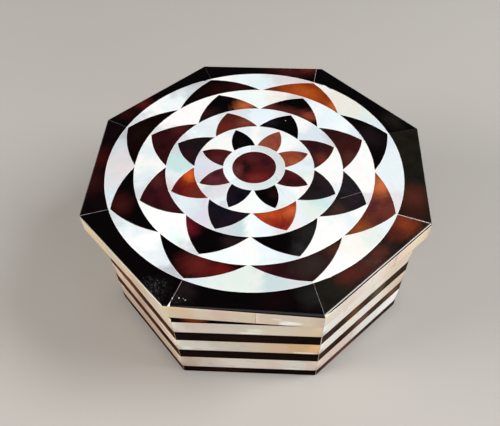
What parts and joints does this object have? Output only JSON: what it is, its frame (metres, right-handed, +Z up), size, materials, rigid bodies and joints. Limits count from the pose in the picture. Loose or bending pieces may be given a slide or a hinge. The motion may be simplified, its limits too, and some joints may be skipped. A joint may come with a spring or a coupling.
{
  "type": "jewelry box",
  "caption": "Octagonal jewelry box with a loose overhanging lid, banded walls and a lid mosaic of dark petals and pearl spokes in inlaid shell.",
  "frame": {"origin": "centre of the outline, on the surface the box stands on", "axes": "+Z up through the lid; +X to the right and -Y out of the front wall, seen from the front"},
  "size_m": [0.13, 0.1302, 0.0572],
  "materials": {
    "carcass_wood": "satin",
    "pearl_shell": "gloss",
    "pearl_shell_cream": "gloss",
    "dark_shell": "gloss",
    "dark_shell_brown": "gloss"
  },
  "bodies": {
    "root": {"box_carcass": "carcass_wood", "lid_board": "carcass_wood", "dark_band_base": "dark_shell", "dark_band_lower": "dark_shell", "dark_band_upper": "dark_shell", "dark_band_rim": "dark_shell", "pearl_band_lower": "pearl_shell_cream", "pearl_band_middle": "pearl_shell_cream", "pearl_band_upper": "pearl_shell_cream", "lid_pearl_edge": "pearl_shell_cream", "lid_centre_disc": "dark_shell_brown", "lid_centre_ring": "pearl_shell", "petal_inner_1": "dark_shell_brown", "petal_inner_2": "dark_shell", "petal_inner_3": "dark_shell_brown", "petal_inner_4": "dark_shell", "petal_inner_5": "dark_shell_brown", "petal_inner_6": "dark_shell", "petal_inner_7": "dark_shell_brown", "petal_inner_8": "dark_shell", "petal_second_1": "dark_shell", "petal_second_2": "dark_shell_brown", "petal_second_3": "dark_shell", "petal_second_4": "dark_shell_brown", "petal_second_5": "dark_shell", "petal_second_6": "dark_shell_brown", "petal_second_7": "dark_shell", "petal_second_8": "dark_shell_brown", "petal_third_1": "dark_shell_brown", "petal_third_2": "dark_shell", "petal_third_3": "dark_shell_brown", "petal_third_4": "dark_shell", "petal_third_5": "dark_shell_brown", "petal_third_6": "dark_shell", "petal_third_7": "dark_shell_brown", "petal_third_8": "dark_shell", "petal_outer_1": "dark_shell", "petal_outer_2": "dark_shell_brown", "petal_outer_3": "dark_shell", "petal_outer_4": "dark_shell_brown", "petal_outer_5": "dark_shell", "petal_outer_6": "dark_shell_brown", "petal_outer_7": "dark_shell", "petal_outer_8": "dark_shell_brown", "pearl_spoke_right": "pearl_shell", "pearl_spoke_rear_right": "pearl_shell", "pearl_spoke_rear": "pearl_shell", "pearl_spoke_rear_left": "pearl_shell", "pearl_spoke_left": "pearl_shell", "pearl_spoke_front_left": "pearl_shell", "pearl_spoke_front": "pearl_shell", "pearl_spoke_front_right": "pearl_shell", "border_right": "dark_shell", "border_rear_right": "dark_shell", "border_rear": "dark_shell", "border_rear_left": "dark_shell", "border_left": "dark_shell", "border_front_left": "dark_shell", "border_front": "dark_shell", "border_front_right": "dark_shell"}
  },
  "joints": []
}
